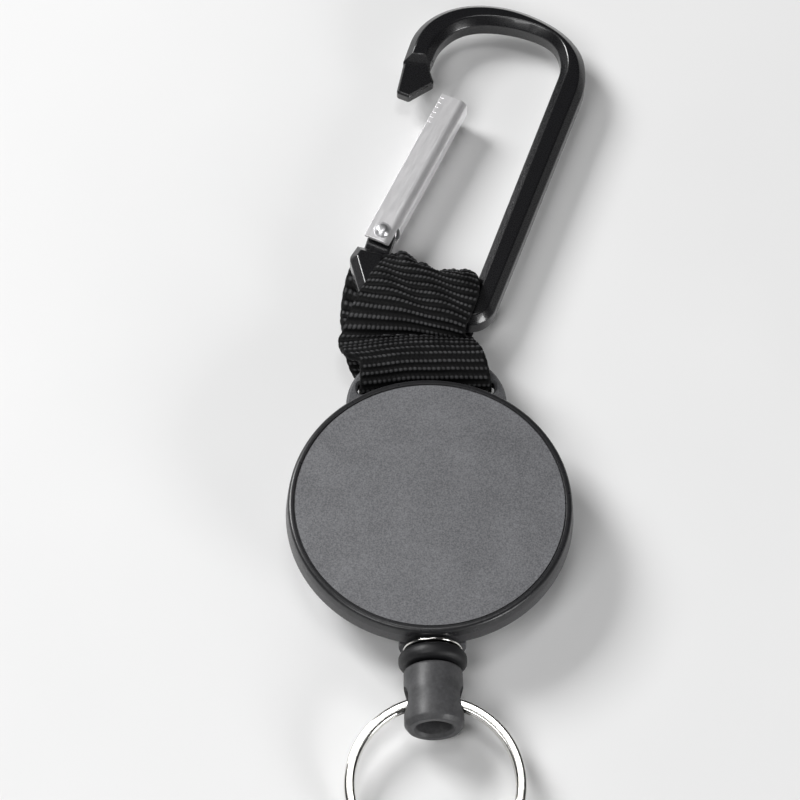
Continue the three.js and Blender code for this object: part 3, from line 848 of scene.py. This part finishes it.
# The webbing's middle line, seen from its side: y, z, its left and right edge, and how much of the
# carabiner's lean it takes. It starts in the ear's slot and goes up the front.
WEB_LINE = [
    (21.4, 4.2, -9.2, 9.1, 0),
    (22.3, 6.6, -9.2, 8.9, 0),
    (24.4, 7.6, -9.2, 8.4, 0),
    (25.5, 7.65, -9.4, 8.1, 0),
    (26.6, 7.35, -11.1, 7.8, 0),
    (27.7, 6.8, -11.7, 7.3, 0),
    (28.9, 5.8, -12.1, 6.9, 0),
    (29.9, 5.1, -12.2, 6.2, 0.15),
    (30.7, 6.4, -10.9, 6.2, 0.6),
    (32.4, 7.7, -9.5, 6.7, 0.9),
    (34.9, 8.15, -8.5, 7.2, 1),
    (37.7, 8.15, -7.7, 7.3, 1),
    (40.3, 7.5, -6.9, 6.7, 1),
    (42.1, 6.0, -6.3, 5.4, 1),
    (42.5, 4.4, -6.1, 4.9, 1),
    (41.9, 2.6, -6.2, 4.8, 1),
    (40.2, 1.15, -7.4, 5.4, 1),
    (37.9, 0.95, -10.9, 7.0, 1),
    (35.1, 0.95, -11.7, 7.4, 1),
    (32.3, 1.2, -11.5, 7.2, 0.9),
    (30.6, 2.3, -11.4, 6.6, 0.5),
    (29.6, 3.35, -11.4, 6.6, 0.1),
    (28.1, 2.6, -11.2, 7.4, 0),
    (26.4, 1.3, -10.5, 8.0, 0),
    (24.6, 0.95, -9.5, 8.4, 0),
    (22.5, 1.8, -9.3, 8.9, 0),
]


def web_stations():
    """The line at even steps, a whole number of ribs round, and its length."""
    line = np.array([
        [*a, *b] for a, b in zip(
            spline([p[:3] for p in WEB_LINE], 24, closed=True),
            [v.xy for v in spline([(*p[3:], 0) for p in WEB_LINE], 24, closed=True)],
        )
    ])
    step = np.linalg.norm(np.diff(line[:, :2], axis=0, append=line[:1, :2]), axis=1)
    along = np.concatenate([[0], np.cumsum(step)])
    length = along[-1]
    rows = round(length / ROW)
    at = np.arange(rows * ROW_STEPS) * length / (rows * ROW_STEPS)
    looped = np.vstack([line, line[:1]])
    return np.stack([np.interp(at, along, looped[:, k]) for k in range(5)], axis=1), length


def smooth_step(value, low, high):
    t = np.clip((value - low) / (high - low), 0, 1)
    return t * t * (3 - 2 * t)


def web_surface(stations, across):
    """Middle surface of the webbing: an array of stations by points across."""
    y, z, left, right, lean = (stations[:, k, None] for k in range(5))
    x = left + (right - left) * (across[None, :] + 1) / 2
    upper = smooth_step(y, 30.5, 34.4)
    front = smooth_step(z, 4.0, 6.0)
    top = smooth_step(y, 38.8, 41.8)
    edge = np.abs(across[None, :])
    turn = LEAN * lean
    dx, dy = x - BAR_AT.x * lean, y - BAR_AT.y
    px = BAR_AT.x * lean + dx * np.cos(turn) - dy * np.sin(turn) * lean
    py = BAR_AT.y + dx * np.sin(turn) + dy * np.cos(turn)
    # the lower band sags at its left end, and the upper loop is drawn in where it turns over
    py = py - SAG * (1 - upper) * front * smooth_step(-px, 1.0, 11.0)
    gather = np.sin(px * 1.9 + 0.6) * 0.25 + np.sin(px * 4.1 + y * 0.5) * 0.12
    dip = np.exp(-((px - 1.6) / 3.4) ** 2)
    py = py + top * (gather - DRAWN_IN * dip) + 0.12 * upper * front * np.sin(px * 0.8 + y * 0.35)
    # the back layer's left part runs up beside the carabiner's heel
    wing = smooth_step(-across[None, :], 0.45, 1.0) * smooth_step(-z, -3.0, -1.2)
    py = py + WING * wing * smooth_step(y, 32.5, 37.9)
    droop = front * smooth_step(y, 25.0, 28.0) * DROOP * edge**4
    pz = z - droop + 0.1 * front * np.sin(px * 0.9 + y * 0.7 + 1.0) * (0.4 + upper)
    pz = pz + 0.2 * top * np.sin(px * 2.3 + 1.4)
    return np.stack([px, py, pz], axis=2)


def web_crests(shape):
    """How far each point stands out of the weave, 0 to 1: ribs across it, each a row of beads."""
    s, t = np.meshgrid(np.arange(shape[0]), np.arange(shape[1]), indexing="ij")
    rib = np.abs(np.sin(math.pi * s / ROW_STEPS))
    odd = (s // ROW_STEPS) % 2
    bead = np.abs(np.sin(math.pi * (t / BEAD_STEPS + 0.5 * odd)))
    return rib**2 * (0.6 + 0.4 * bead)


def strap():
    stations, length = web_stations()
    beads = round(WEB_W / BEAD)
    across = np.linspace(-1, 1, beads * BEAD_STEPS + 1)
    middle = web_surface(stations, across)
    along = np.roll(middle, -1, axis=0) - np.roll(middle, 1, axis=0)
    sideways = np.gradient(middle, axis=1)
    sideways /= np.linalg.norm(sideways, axis=2, keepdims=True)
    normal = np.cross(along, sideways)
    normal /= -np.linalg.norm(normal, axis=2, keepdims=True)
    crests = web_crests(middle.shape)
    relief = (WEB_HALF_T - VALLEY + RIB * crests)[..., None]
    upper, lower = middle + normal * relief, middle - normal * relief
    rims = {}
    for end in (0, -1):
        outward = sideways[:, end] * (1 if end else -1)
        rib = SELVEDGE_RIB * np.abs(np.sin(math.pi * np.arange(len(middle)) / ROW_STEPS))[:, None]
        turns = [math.radians(a) for a in (50, 0, -50)]
        rims[end] = [
            middle[:, end] + outward * (SELVEDGE_OUT + rib) * math.cos(a)
            + normal[:, end] * SELVEDGE_HALF_T * math.sin(a)
            for a in turns
        ]
    columns = [upper[:, k] for k in range(upper.shape[1])] + rims[-1]
    columns += [lower[:, k] for k in range(lower.shape[1])][::-1] + rims[0][::-1]
    grid = np.stack(columns, axis=1)
    rows, n = grid.shape[:2]
    index = np.arange(rows * n).reshape(rows, n)
    right, ahead = np.roll(index, -1, axis=1), np.roll(index, -1, axis=0)
    faces = np.stack([index, right, np.roll(ahead, -1, axis=1), ahead], axis=2).reshape(-1, 4)
    piece = shape_object("webbing_strap", grid.reshape(-1, 3), faces.tolist())
    # the crest attribute carries the painted highlight on the crests and painted shade in the valleys,
    # with a fixed level on the selvedge
    selvedge = np.full((rows, 3), SELVEDGE_SHADE)
    shades = np.hstack([
        crests**CREST_SHARPNESS, selvedge, crests[:, ::-1]**CREST_SHARPNESS, selvedge,
    ])
    piece.data.attributes.new("crest", "FLOAT", "POINT").data.foreach_set("value", shades.ravel())
    layer = piece.data.uv_layers.new(name="weave")
    corners = np.zeros(len(piece.data.loops), np.int32)
    piece.data.loops.foreach_get("vertex_index", corners)
    flat = np.stack([corners // n * (length / rows), corners % n * (WEB_W / len(across))], axis=1)
    layer.data.foreach_set("uv", (flat * MM).astype(np.float32).ravel())
    place(piece, None, "strap_webbing", "strap", sharp=0)
    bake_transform(piece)
    return piece, length


def stitching():
    """A row of lock stitches across the strap's waist."""
    lines = []
    stitch, gap, lead, dive, arch = 1.35, 0.55, 0.15, 0.5, 0.1
    y = 29.9
    for level, sign in ((5.66, 1), (2.8, -1)):
        x = -6.2
        while x < 5:
            points = [
                (x, y, level - sign * dive), (x + lead, y, level),
                (x + stitch / 2, y, level + sign * arch),
                (x + stitch - lead, y, level), (x + stitch, y, level - sign * dive),
            ]
            lines.append(spline(points, 5))
            x += stitch + gap
    pieces = [swept("stitch", line, ring_section(0.2, 8, 2, 0.05), 0.3) for line in lines]
    joined = bmesh.new()
    for piece in pieces:
        joined.from_mesh(piece.data)
        bpy.data.objects.remove(piece)
    mesh = bpy.data.meshes.new("stitches")
    joined.to_mesh(mesh)
    joined.free()
    row = bpy.data.objects.new("waist_stitches", mesh)
    bpy.context.scene.collection.objects.link(row)
    return place(row, "strap_loop", "stitch_thread", "strap_stitching", sharp=0)


# ---------------------------------------------------------------- carabiner

FRAME_OUTLINE = [
    (-14.9, 39.8, 0), (-14.8, 46.6, FAIR), (-10.4, 52.0, FAIR), (-2.8, 54.3, FAIR), (5.6, 52.9, FAIR),
    (11.0, 49.2, FAIR), (13.0, 43.6, 14), (9.9, -2.3, 4), (-9.3, -2.3, 3.5), (-12.9, 3.9, 1.4),
    (-12.3, 6.2, 0), (-7.2, 6.2, 0), (-6.9, 2.2, 1.5), (6.1, 2.2, 1.8), (8.6, 45.6, 7),
    (6.4, 49.9, FAIR), (-0.6, 50.8, FAIR), (-7.3, 49.2, FAIR), (-10.5, 45.0, FAIR), (-10.8, 40.4, 0),
]
NOSE_OUTLINE = [
    (-14.8, 39.6, 0), (-14.4, 34.3, 0.5), (-12.4, 34.0, 0.5), (-9.4, 37.6, 0.5), (-11.0, 40.2, 0),
    (-10.6, 41.6, 0), (-14.6, 41.6, 0),
]


def counter_clockwise(line):
    area = sum(a.x * b.y - b.x * a.y for a, b in zip(line, line[1:] + line[:1]))
    return line if area > 0 else line[::-1]


def rivet_hole(name, centre=(0, 0, 0)):
    return turned(name, [(0, -3, 0), (RIVET_HOLE_R, -3, 0), (RIVET_HOLE_R, 3, 0), (0, 3, 0)], 32,
                  centre=centre, closed=False)


def carabiner_frame():
    thickness, bevel = 4.4, 1.1
    body = slab("carabiner_body", counter_clockwise(rounded(FRAME_OUTLINE, 18)),
                slab_edge(thickness, bevel, 0.45, 5))
    nose = slab("nose", counter_clockwise(rounded(NOSE_OUTLINE, 5)), slab_edge(PLATE_T, 0.3, 0.08))
    u, v = PIVOT
    half = 1.9
    tongue = slab("tongue", counter_clockwise(rounded(
        [(u - half, 5, 0), (u + half, 5, 0), (u + half, v + half, 1.85), (u - half, v + half, 1.85)], 8,
    )), slab_edge(PLATE_T, 0.2, 0.06))
    combine(body, nose, tongue, operation="UNION")
    combine(body, rivet_hole("hole", (u, v, 0)))
    on_carabiner(body)
    return level_normals(place(body, "carabiner", "black_anodised", "carabiner_frame"))


def gate_ticks(bar):
    """Short scores across the gate's front, near its tip."""
    count, first, pitch, depth = 6, 1.1, 0.95, 0.12
    for k in range(count):
        v = GATE_L - first - pitch * k
        corners = [(-3, v), (-1.5, v + 0.12), (-1.5, v + 0.34), (-3, v + 0.3)]
        tick = slab("tick", [Vector(p) for p in corners], [(0, GATE_HALF - depth), (0, GATE_HALF + 1)])
        combine(bar, tick)


def gate():
    half, inner = GATE_HALF, GATE_HALF - GATE_SHEET
    length = GATE_L + GATE_TAIL
    lip, bend_out, bend_in = 0.12, 1.3, 0.8
    section = rounded([
        (-half, -half, lip), (half, -half, bend_out), (half, half, bend_out), (-half, half, lip),
        (-half, inner, lip), (inner, inner, bend_in), (inner, -inner, bend_in), (-half, -inner, lip),
    ], 8)
    bar = slab("gate_channel", section, slab_edge(length, 0.06, 0.03))
    fork = slab("fork", [Vector(p) for p in [(-4, -inner), (4, -inner), (4, inner), (-4, inner)]],
                [(0, -length), (0, GATE_TAIL + 1.6 - length / 2)])
    combine(bar, fork)
    move(bar, Matrix.Translation((0, length / 2 - GATE_TAIL, 0)) @ Matrix.Rotation(-math.pi / 2, 4, "X"))
    combine(bar, rivet_hole("pin"))
    gate_ticks(bar)
    on_gate(bar)
    return level_normals(place(bar, "gate_bar", "bare_aluminium", "gate"))


def gate_rivet():
    shank, head, seat = 0.77, 1.25, GATE_HALF + 0.12
    rivet = turned("rivet", [
        (0, -seat - 0.7, 0), (0.7, -seat - 0.62, 0.8), (head, -seat - 0.12, 0.2), (head, -seat, 0.04),
        (shank, -seat, 0), (shank, seat, 0), (head, seat, 0.04), (head, seat + 0.12, 0.2),
        (0.7, seat + 0.62, 0.8), (0, seat + 0.7, 0),
    ], 64, 6, centre=(PIVOT.x, PIVOT.y, 0), closed=False)
    on_carabiner(rivet)
    return place(rivet, "carabiner", "rivet_steel", "gate_rivet")


def gate_spring():
    turns, r, v0, v1, wire, aside, per_turn = 7, 0.95, 3.0, 12.0, 0.2, 0.2, 24
    line = []
    for i in range(turns * per_turn + 1):
        angle = FULL_TURN * i / per_turn
        v = v0 + (v1 - v0) * i / (turns * per_turn)
        line.append((r * math.cos(angle) - aside, v, r * math.sin(angle)))
    coil = on_gate(swept("gate_coil", line, ring_section(wire, 10)))
    return place(coil, "gate_bar", "spring_steel", "gate_spring", sharp=0)


# ---------------------------------------------------------------- build

make_camera()
pull_cord()

front_cover()
rear_case()
exit_eyelet()
wound_cord()
for node, node_slot in [
    ("spool", "drum_plastic"),
    ("spring_cover", "spring_cover_steel"),
    ("power_spring", "spring_steel"),
    ("cord_anchor", "crimp_brass"),
    ("cord_ferrule", "crimp_aluminium"),
]:
    dress_node(node, node_slot)

rubber_bumper()
rubber_sleeve()
split_ring()
web, web_length = strap()
stitches = stitching()
carabiner_frame()
gate()
gate_rivet()
gate_spring()

floor_mesh = bpy.data.meshes.new("floor")
floor_corners = [
    (-FLOOR_HALF, -FLOOR_HALF, 0), (FLOOR_HALF, -FLOOR_HALF, 0),
    (FLOOR_HALF, FLOOR_HALF, 0), (-FLOOR_HALF, FLOOR_HALF, 0),
]
floor_mesh.from_pydata(floor_corners, [], [(0, 1, 2, 3)])
floor = bpy.data.objects.new("floor", floor_mesh)
floor.location.z = -FLOOR_DROP
bpy.context.scene.collection.objects.link(floor)
floor_finish = Finish("pale_floor")
floor_finish.color(floor_finish.ramp(floor_finish.noise(40, 2), (0.3, 0.8), (0.7, 0.82)))
floor_finish.shader.inputs["Roughness"].default_value = 0.7
floor_mesh.materials.append(floor_finish.material)
make_studio()
bpy.context.scene.view_settings.view_transform = "Standard"
